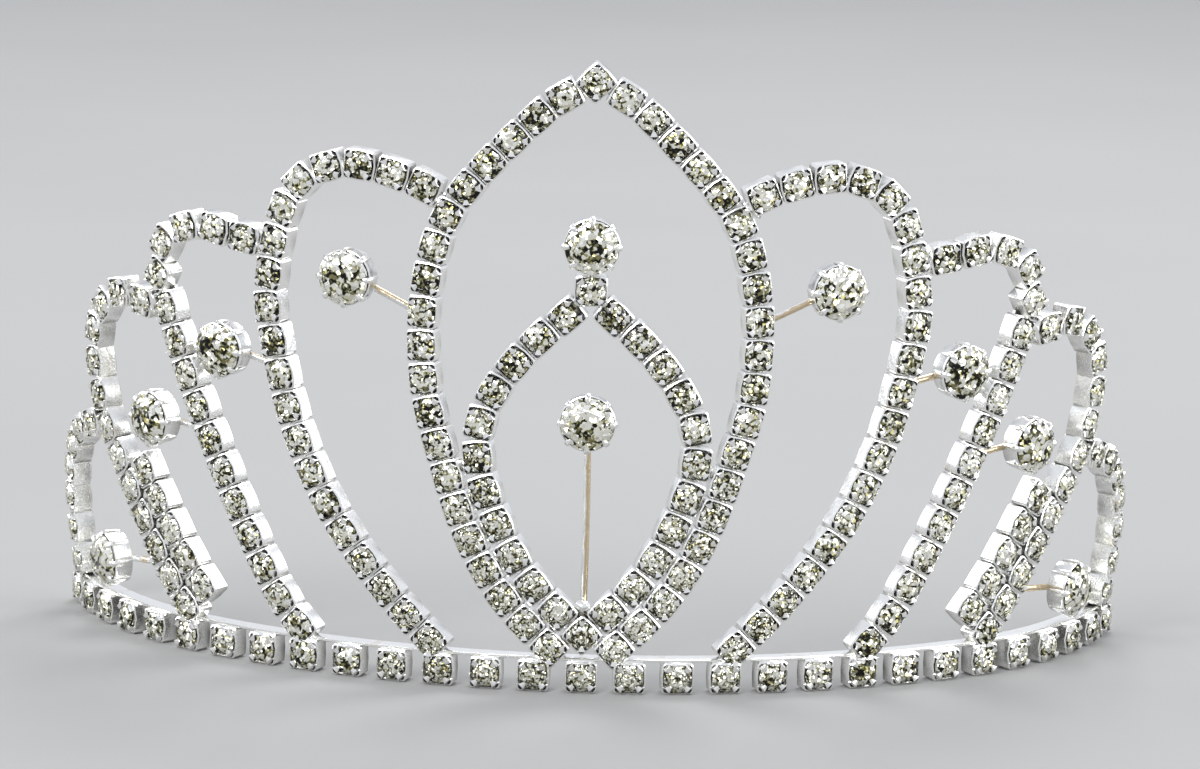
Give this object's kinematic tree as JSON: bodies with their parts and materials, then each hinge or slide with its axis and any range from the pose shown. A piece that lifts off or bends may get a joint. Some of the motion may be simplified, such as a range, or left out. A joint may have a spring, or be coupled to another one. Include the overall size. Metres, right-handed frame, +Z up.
{
  "type": "pageant crown",
  "caption": "Standing rhinestone crown: cup-chain ogives and hooked arches soldered to a curved, open-backed base band, with large round stones on wire stems.",
  "frame": {"origin": "middle of the crown's outer box, on the surface that the band stands on", "axes": "+X to the viewer's right along the band, +Y towards the open back, +Z up; the front faces -Y"},
  "size_m": [0.1442, 0.0466, 0.0815],
  "materials": {
    "silver_plate": "bright silver-coloured rhodium-look plate on brass",
    "small_crystal": "cut clear rhinestone with a foil back",
    "large_crystal": "cut clear rhinestone with a foil back"
  },
  "bodies": {
    "root": {"frame": "silver_plate", "band_stones": "small_crystal", "foot_stone": "small_crystal", "outer_ogive_stones": "small_crystal", "inner_ogive_stones": "small_crystal", "arch_1_stones_left": "small_crystal", "arch_1_stones_right": "small_crystal", "arch_2_stones_left": "small_crystal", "arch_2_stones_right": "small_crystal", "arch_3_stones_left": "small_crystal", "arch_3_stones_right": "small_crystal", "arch_4_stones_left": "small_crystal", "arch_4_stones_right": "small_crystal", "arch_3_second_row_left": "small_crystal", "arch_3_second_row_right": "small_crystal", "large_stone_tip": "large_crystal", "large_stone_centre": "large_crystal", "large_stone_1_left": "large_crystal", "large_stone_1_right": "large_crystal", "large_stone_2_left": "large_crystal", "large_stone_2_right": "large_crystal", "large_stone_3_left": "large_crystal", "large_stone_3_right": "large_crystal", "large_stone_4_left": "large_crystal", "large_stone_4_right": "large_crystal"}
  },
  "joints": []
}
